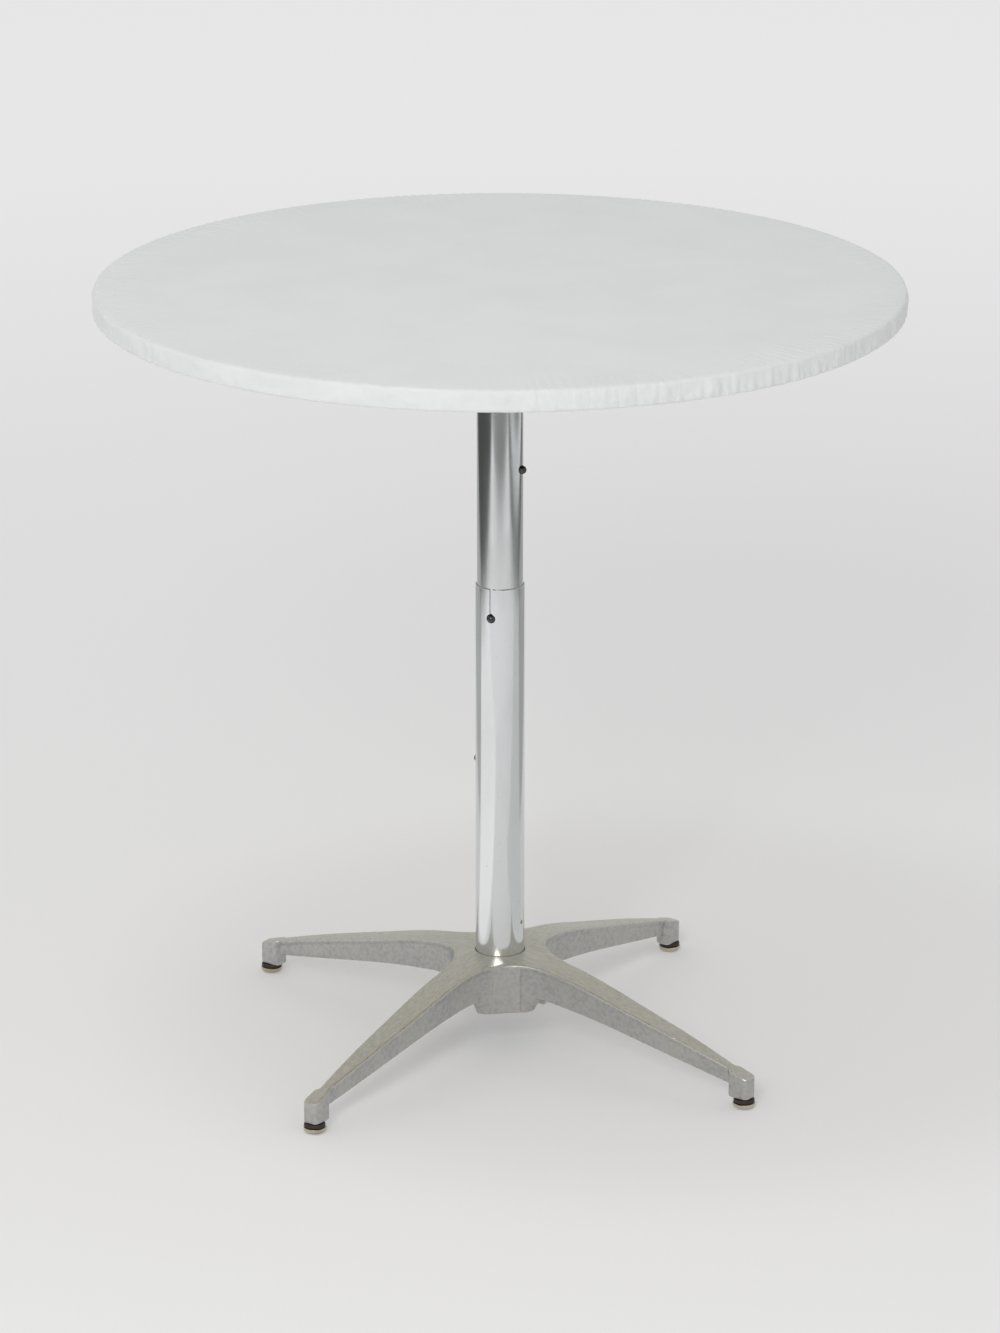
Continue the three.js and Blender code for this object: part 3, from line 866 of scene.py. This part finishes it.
def fittedCover():
    line = coverProfile()
    reach = [0.0]
    for before, after in zip(line, line[1:]):
        reach.append(reach[-1] + math.dist(before, after))
    shape = spun(line, cover["segments"])
    bmesh.ops.recalc_face_normals(shape, faces=shape.faces)
    top = max(shape.faces, key=lambda face: face.calc_center_median().z)
    if top.normal.z < 0:
        bmesh.ops.reverse_faces(shape, faces=shape.faces)
    cut = shape.loops.layers.uv.new("cut")
    nearest = {}
    for vert in shape.verts:
        radius = vert.co.xy.length
        key = (round(radius, 6), round(vert.co.z, 6))
        if key not in nearest:
            index = min(range(len(line)), key=lambda i: math.dist(line[i], (radius, vert.co.z)))
            nearest[key] = reach[index]
    for face in shape.faces:
        for loop in face.loops:
            spot = loop.vert.co
            radius = spot.xy.length
            far = nearest[(round(radius, 6), round(spot.z, 6))]
            loop[cut].uv = spot.xy / radius * far if radius else (0, 0)
    for vert in shape.verts:
        vert.co = ruffled(vert.co)
    made = asObject("fittedCover", shape, "cloth", angle=80)
    wall = made.modifiers.new("thickness", "SOLIDIFY")
    wall.thickness, wall.offset = cover["thickness"], 0
    settled(made)
    return made, reach[-1]


fittedPiece, cutRadius = fittedCover()
onBody(fittedPiece, "column", "cloth", "cover_cloth")
print("cover made:", len(fittedPiece.data.polygons), "faces, cut", round(2 * cutRadius, 3), "m across")


def hemBand():
    inner, outer = elasticHigh.x - cover["elasticWidth"], elasticHigh.x
    middle, half = hemLevel - cover["hemFold"], cover["elasticThickness"] / 2
    low, high = middle - half, middle + half
    wall = rounded([(inner, low), (outer, low), (outer, high), (inner, high)], 0.0002, 2)
    shape = spun(wall, cover["segments"] // 2, closed=True)
    for vert in shape.verts:
        vert.co = ruffled(vert.co)
    return asObject("hemElastic", shape, "elastic")


def hemStitches():
    shape = bmesh.new()
    radius = hemInner + cover["hem"] - cover["stitchInset"]
    size = Matrix.Diagonal((*cover["stitchSize"], 1))
    for index in range(cover["stitches"]):
        angle = math.tau * index / cover["stitches"]
        seam = (radius * math.cos(angle), radius * math.sin(angle), hemLevel - 2 * cover["hemFold"])
        spot = ruffled(Vector(seam)) + Vector((0, 0, -0.0005))
        move = Matrix.Translation(spot) @ Matrix.Rotation(angle, 4, "Z") @ size
        bmesh.ops.create_icosphere(shape, subdivisions=1, radius=0.5, matrix=move)
    return asObject("hemStitches", shape, "elastic", angle=80)


elasticPiece = onBody(hemBand(), "column", "elastic", "hem_elastic")
stitchPiece = onBody(hemStitches(), "column", "elastic")
print("hem made")


# Plate, collar and screws

plate = {
    "corner": 0.018, "thickness": 0.004, "edge": 0.0007, "collarWall": 0.003,
    "weld": 0.0045, "weldRipple": 0.00035, "ripples": 58,
}
screws = {
    "shank": 0.0021, "seat": 0.0034, "tip": 0.0012,
    "collarRadius": 0.003, "hubRadius": 0.004, "recess": 0.0022,
}


def mountingPlate():
    side = plateHigh.x - plateLow.x
    bottom = plateHigh.z - plate["thickness"]
    outline = boxOutline(side, side, plate["corner"], steps=10)
    shape = prism(outline, bottom, plateHigh.z)
    rims = [edge for edge in shape.edges if abs(edge.verts[0].co.z - edge.verts[1].co.z) < 1e-6]
    bmesh.ops.bevel(shape, geom=rims, offset=plate["edge"], segments=3, affect="EDGES",
                    profile=0.5, material=-1)
    bore = innerOuter + gap
    outer = bore + plate["collarWall"]
    wall = rounded([(bore, plateLow.z), (outer, plateLow.z), (outer, bottom), (bore, bottom)], 0.0006, 3)
    addShape(shape, spun(wall, 96, closed=True))
    leg, hidden = plate["weld"], 0.0004
    bead = [(outer - hidden, bottom - leg), (outer + leg * 0.45, bottom - leg * 0.45),
            (outer + leg, bottom + 0.0003), (outer - hidden, bottom + 0.0003)]
    weld = spun(rounded(bead, 0.0012, 3), 180, closed=True)
    for vert in weld.verts:
        angle = math.atan2(vert.co.y, vert.co.x)
        swell = plate["weldRipple"] * math.sin(angle * plate["ripples"])
        swell *= math.exp(-((vert.co.z - bottom + 0.002) / 0.002) ** 2)
        vert.co += Vector((math.cos(angle), math.sin(angle), -1)) * swell
    addShape(shape, weld)
    return asObject("mountingPlate", shape, "blackSteel")


def driveRecess(shape, face, lobes, wide, narrow, depth, taper):
    # an inset loop of the end face pulled to a star, then pushed in
    bmesh.ops.inset_region(shape, faces=[face], thickness=0.0006, depth=0)
    middle = face.calc_center_median()
    for vert in face.verts:
        away = vert.co - middle
        turn = math.atan2(away.y, away.x)
        share = abs(math.cos(turn * lobes / 2)) ** 3
        vert.co = middle + away.normalized() * (narrow + (wide - narrow) * share)
    pushed = bmesh.ops.extrude_face_region(shape, geom=[face])["geom"]
    verts = [item for item in pushed if isinstance(item, bmesh.types.BMVert)]
    bmesh.ops.delete(shape, geom=[face], context="FACES_ONLY")
    bmesh.ops.translate(shape, verts=verts, vec=(0, 0, -depth))
    bmesh.ops.scale(shape, verts=verts, vec=(taper, taper, 1), space=Matrix.Translation(-middle))


def drivenPin(profile, lobes, wide, narrow, depth, taper=0.9):
    # a turned pin along +Z; its last profile point is the edge of the end face, which gets the recess
    shape = spun(profile, 48)
    rim = [edge for edge in shape.edges if len(edge.link_faces) == 1]
    face = bmesh.ops.contextual_create(shape, geom=rim)["faces"][0]
    bmesh.ops.recalc_face_normals(shape, faces=shape.faces)
    driveRecess(shape, face, lobes, wide, narrow, depth, taper)
    bmesh.ops.recalc_face_normals(shape, faces=shape.faces)
    return shape


def plateScrews():
    for number in range(1, 5):
        low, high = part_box(f"plate_screw_{number}")
        centre, head = (low + high) / 2, (high.x - low.x) / 2
        seat, shank, length = screws["seat"], screws["shank"], high.z - low.z
        profile = [(0, -length), (0.0006, -length + screws["tip"]), (shank, -seat - 0.006),
                   (shank, -seat), (head - 0.0002, -seat), (head, -seat + 0.0006),
                   (head * 0.93, -0.0012), (head * 0.75, -0.0003), (head * 0.55, 0)]
        shape = drivenPin(profile, 4, 0.0022, 0.0007, 0.0018, 0.5)
        bmesh.ops.transform(shape, matrix=Matrix.Rotation(math.pi, 4, "X"), verts=shape.verts)
        bmesh.ops.translate(shape, verts=shape.verts, vec=(centre.x, centre.y, low.z))
        made = asObject(f"plateScrew{number}", shape, "zinc")
        onBody(made, "column", "zinc", f"plate_screw_{number}")


def sideScrew(name, node, body, slot, finish, radius, degrees):
    low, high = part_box(node)
    along = 0 if degrees in (0, 180) else 1
    inner, outer = sorted((abs(low[along]), abs(high[along])))
    profile = [(0, inner), (radius * 0.8, inner), (radius, inner + 0.0006), (radius, outer - 0.0005),
               (radius - 0.0005, outer)]
    shape = drivenPin(profile, 6, radius * 0.55, radius * 0.48, screws["recess"])
    place(shape, (low.z + high.z) / 2, math.radians(degrees), sideways=True)
    onBody(asObject(name, shape, finish), body, slot, node)


onBody(mountingPlate(), "column", "black_steel", "top_plate")
plateScrews()
for number, degrees in enumerate((0, 90), 1):
    sideScrew(f"collarScrew{number}", f"collar_screw_{number}", "column", "zinc", "zinc",
              screws["collarRadius"], degrees)
for number, degrees in enumerate(hubScrewAngles, 1):
    sideScrew(f"hubScrew{number}", f"hub_set_screw_{number}", "base", "black_steel", "blackSteel",
              screws["hubRadius"], degrees)
print("plate and screws made")


# Snap buttons and their springs

snap = {
    "radius": 0.0042,
    "proud": 0.003,  # how far a button stands out of the lower tube
    "back": 0.0011,
    "leaf": 0.0008,
    "leafWidth": 0.0086,
    "leafLength": 0.040,
    "bend": 1.2,  # how far the curve's handles reach, for its bottom to come at the leaf's length
    "room": 0.0016,
    "steps": 24,
}


def buttonSpan(letter):  # how far from the axis a button starts and ends
    pressed = joints[buttonJoints[letter]]["range_m"][1] if letter == "d" else 0
    return innerInner - snap["back"] - pressed, outerOuter + snap["proud"] - pressed


def snapButton(letter):
    foot, tip = buttonSpan(letter)
    radius = snap["radius"]
    dome = [(radius * math.cos(a), tip - radius + radius * math.sin(a))
            for a in (math.radians(90 * k / 10) for k in range(11))]
    shape = spun([(0, foot), (radius - 0.0003, foot), (radius, foot + 0.0003), *dome[:-1], (0, tip)], 48)
    place(shape, buttonHeight(letter), buttonAngle(letter), sideways=True)
    made = asObject("snapButton" + letter.upper(), shape, "button")
    return onBody(made, "button_" + letter, "spring_steel", "snap_button_" + letter)


def leafSpring(letter):
    foot, tip = buttonSpan(letter)
    front = foot - snap["leaf"] / 2
    back = snap["room"] - math.sqrt(innerInner ** 2 - (snap["leafWidth"] / 2) ** 2)
    bend = -snap["leafLength"] * snap["bend"]
    ends = [Vector(end) for end in ((front, -leafLip), (front, bend), (back, bend), (back, -leafLip))]
    path = [Vector((front, leafLip))]
    for step in range(snap["steps"] + 1):
        t = step / snap["steps"]
        path.append(ends[0] * (1 - t) ** 3 + ends[1] * 3 * t * (1 - t) ** 2
                    + ends[2] * 3 * t ** 2 * (1 - t) + ends[3] * t ** 3)
    path.append(Vector((back, leafLip)))
    shape = bmesh.new()
    verts = [shape.verts.new((point.x, -snap["leafWidth"] / 2, point.y)) for point in path]
    edges = [shape.edges.new(pair) for pair in zip(verts, verts[1:])]
    wide = bmesh.ops.extrude_edge_only(shape, edges=edges)["geom"]
    moved = [item for item in wide if isinstance(item, bmesh.types.BMVert)]
    bmesh.ops.translate(shape, verts=moved, vec=(0, snap["leafWidth"], 0))
    bmesh.ops.recalc_face_normals(shape, faces=shape.faces)
    place(shape, buttonHeight(letter), buttonAngle(letter))
    made = asObject("leafSpring" + letter.upper(), shape, "spring")
    wall = made.modifiers.new("leaf", "SOLIDIFY")
    wall.thickness, wall.offset = snap["leaf"], 0
    edge = made.modifiers.new("edge", "BEVEL")
    edge.width, edge.segments, edge.limit_method = 0.00015, 2, "ANGLE"
    settled(made)
    onBody(made, "column", "spring_steel")
    if letter != "d":
        angle, travel = buttonAngle(letter), joints[buttonJoints[letter]]["range_m"][1]
        1 - travel / (front - back)
        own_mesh(made)
    return made


for letter in "abcd":
    snapButton(letter)
    leafSpring(letter)
print("buttons made")


# Glides

glide = {
    "flat": 0.006, "radius": 0.011, "cupWall": 0.0024, "cushion": 0.0103, "stem": 0.004,
    "pitch": 0.00125, "plain": 0.003,  # the stem's thread and the plain length under it
}


def glideAt(shape, angle):
    bmesh.ops.translate(shape, verts=shape.verts, vec=(casting["glideCircle"], 0, 0))
    return place(shape, 0, angle)


def glideCup(low, top):
    g = glide
    line = [(0, low + 0.0003), (g["flat"] * 0.7, low + 0.0001), (g["flat"], low),
            (g["radius"] - 0.0026, low + 0.0005), (g["radius"] - 0.001, low + 0.0016),
            (g["radius"] - 0.0002, low + 0.0030), (g["radius"], low + 0.0042),
            (g["radius"] - 0.0001, top - 0.0004), (g["radius"] - 0.0006, top), (g["cushion"] - 0.001, top),
            (g["stem"] + gap, top), (g["stem"] + gap, low + g["cupWall"]), (0, low + g["cupWall"])]
    return spun(line, 56)


def glideCushion(low, high):
    g = glide
    wall = rounded([(g["stem"] + gap, low), (g["cushion"] - 0.0004, low), (g["cushion"], (low + high) / 2),
                    (g["cushion"] - 0.0009, high), (g["stem"] + gap, high)], 0.0008, 3)
    return spun(wall, 56, closed=True)


def glideStem(low, high):
    g = glide
    root, height = g["stem"] * 0.82, low + g["plain"]
    line = [(0, low), (root, low), (root, height)]
    while height < high - 2 * g["pitch"]:
        line += [(g["stem"], height + g["pitch"] * 0.4), (g["stem"], height + g["pitch"] * 0.6),
                 (g["stem"] * 0.84, height + g["pitch"])]
        height += g["pitch"]
    return spun(line + [(g["stem"] * 0.8, high), (0, high)], 32)


for number, angle in enumerate(armAngles, 1):
    for name, build, node, finish in (("glideCup", glideCup, "glide_base", "nickel"),
                                      ("glideCushion", glideCushion, "glide_cushion", "rubber"),
                                      ("glideStem", glideStem, "glide_stem", "zinc")):
        low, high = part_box(f"{node}_{number}")
        made = asObject(f"{name}{number}", glideAt(build(low.z, high.z), angle), finish)
        onBody(made, f"glide_{number}", finish, f"{node}_{number}")
print("glides made")


# CAD nodes that stay, in their own finishes

kept = {"top_panel": "plywood", "edge_band": "edging", "column_end_bushing": "nylon"}
for node, finish in kept.items():
    mesh = frame["nodes"][node].data
    mesh.materials.clear()
    mesh.materials.append(finishes[finish])


# Studio

def paintedReflectionCard(name, value, left, right, near, far):
    # a glowing sheet flat on the floor round the paper, that only polished metal sees: a painted reflection
    # of the room;
    # left and right, near and far are measured from the column, seen from the camera
    shape = bmesh.new()
    bmesh.ops.create_grid(shape, x_segments=1, y_segments=1, size=0.5)
    bmesh.ops.scale(shape, verts=shape.verts, vec=(right - left, far - near, 1))
    middle = ((left + right) / 2, (near + far) / 2, studio["cardHeight"])
    bmesh.ops.translate(shape, verts=shape.verts, vec=middle)
    turned = Matrix.Rotation(math.radians(camera["turn"]), 3, "Z")
    bmesh.ops.rotate(shape, verts=shape.verts, matrix=turned)
    made = asObject(name, shape)
    made.data.materials.append(paintedReflectionFinish(name, value))
    made.visible_camera = made.visible_diffuse = made.visible_shadow = False
    made.visible_transmission = made.visible_volume_scatter = False


def makeStudio():
    shape = bmesh.new()
    bmesh.ops.create_circle(shape, cap_ends=True, segments=64, radius=studio["floorRadius"])
    floor = asObject("paperFloor", shape)
    floor.data.materials.append(paleFloor())
    world = bpy.data.worlds.new("studio")
    scene.world = world
    world.use_nodes = True
    sky = world.node_tree.nodes["Background"]
    sky.inputs["Color"].default_value = (1, 1, 1, 1)
    sky.inputs["Strength"].default_value = studio["skyStrength"]
    for name in ("key", "top"):
        light = bpy.data.lights.new(name, "AREA")
        light.shape = "SQUARE"
        light.size = studio[name + "Size"]
        light.energy = studio[name + "Power"]
        lamp = bpy.data.objects.new(name, light)
        lamp.location = studio[name + "Spot"]
        away = Vector(studio[name + "Spot"]) - Vector(studio["aim"])
        lamp.rotation_euler = away.to_track_quat("Z", "Y").to_euler()
        scene.collection.objects.link(lamp)
    edge, end = studio["paperEdge"], studio["paintedRoomEnd"]
    side, near = studio["paintedDimSide"], studio["paintedDimNear"]
    # glowing sheets that only polished metal sees: painted reflections of a dark room round the paper, of
    # bright bounce cards near the table, and of dimmer paper behind it
    paintedReflectionCard("paintedRoomLeft", 58, -end, -edge, -end, end)
    paintedReflectionCard("paintedRoomRight", 66, edge, edge + 0.35, -end, end)
    paintedReflectionCard("paintedRoomFarRight", 96, edge + 0.75, end, -end, end)
    paintedReflectionCard("paintedRoomFront", 114, -edge, edge, -end, -studio["paperFront"])
    paintedReflectionCard("paintedBounceLeft", 246, -1.3, -0.28, -0.9, near)
    paintedReflectionCard("paintedBounceRight", 200, 0.3, 1.3, -0.5, near)
    paintedReflectionCard("paintedDimLeft", 176, -edge, -side, near, end)
    paintedReflectionCard("paintedDimRight", 166, side, edge, near, end)


makeStudio()
print("studio made")
